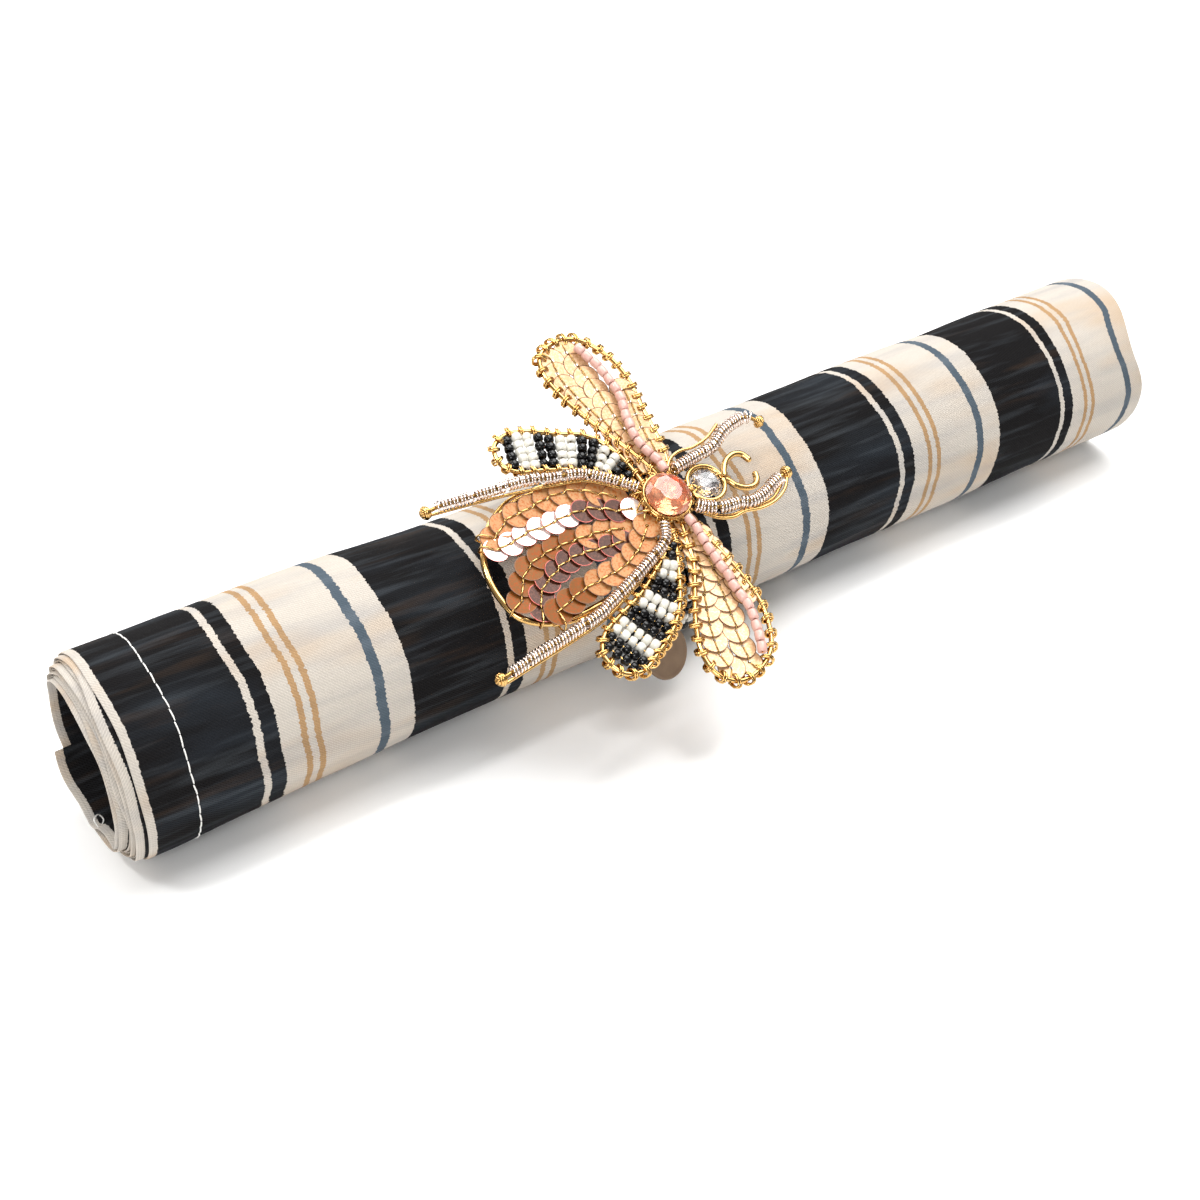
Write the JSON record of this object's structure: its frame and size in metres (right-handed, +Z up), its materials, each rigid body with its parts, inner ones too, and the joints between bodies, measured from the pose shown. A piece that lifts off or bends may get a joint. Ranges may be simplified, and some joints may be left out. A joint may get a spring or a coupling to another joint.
{
  "type": "rolled napkin in a ring",
  "caption": "Folded cotton napkin wound into a hollow roll, held by a beaded ring that carries a wire, sequin and bead insect with a faceted stone.",
  "frame": {"origin": "on the surface that the roll lies on, under the middle of the roll", "axes": "+X along the roll towards its folded end, +Z up, the insect leans towards -Y"},
  "size_m": [0.262, 0.0711, 0.0591],
  "materials": {
    "cloth": "woven cotton with dark and pale stripes",
    "bead_mix": "black and ivory seed beads, glossy",
    "bronze_disc": "dull bronze",
    "gold_wire": "bright gold wire",
    "coiled_wire": "pale champagne coiled wire",
    "orange_stone": "faceted, glossy",
    "clear_stone": "faceted, clear",
    "peach_sequins": "satin metallic peach",
    "rose_sequins": "metallic rose and mauve",
    "pink_beads": "glossy bugle beads"
  },
  "bodies": {
    "root": {"napkin": "cloth", "ring_band": "bead_mix", "hind_wing_upper_beads": "bead_mix", "hind_wing_lower_beads": "bead_mix", "ring_disc": "bronze_disc", "thorax_core": "gold_wire", "head_ring": "gold_wire", "antenna_upper": "gold_wire", "antenna_lower": "gold_wire", "fore_wing_upper_frame": "gold_wire", "fore_wing_lower_frame": "gold_wire", "hind_wing_upper_frame": "gold_wire", "hind_wing_lower_frame": "gold_wire", "abdomen_frame": "gold_wire", "front_leg_upper": "coiled_wire", "front_leg_lower": "coiled_wire", "hind_leg_upper": "coiled_wire", "hind_leg_lower": "coiled_wire", "thorax_stone": "orange_stone", "head_stone": "clear_stone", "fore_wing_upper_sequins": "peach_sequins", "fore_wing_lower_sequins": "peach_sequins", "abdomen_upper_sequins": "rose_sequins", "abdomen_lower_sequins": "rose_sequins", "fore_wing_upper_beads": "pink_beads", "fore_wing_lower_beads": "pink_beads"}
  },
  "joints": []
}
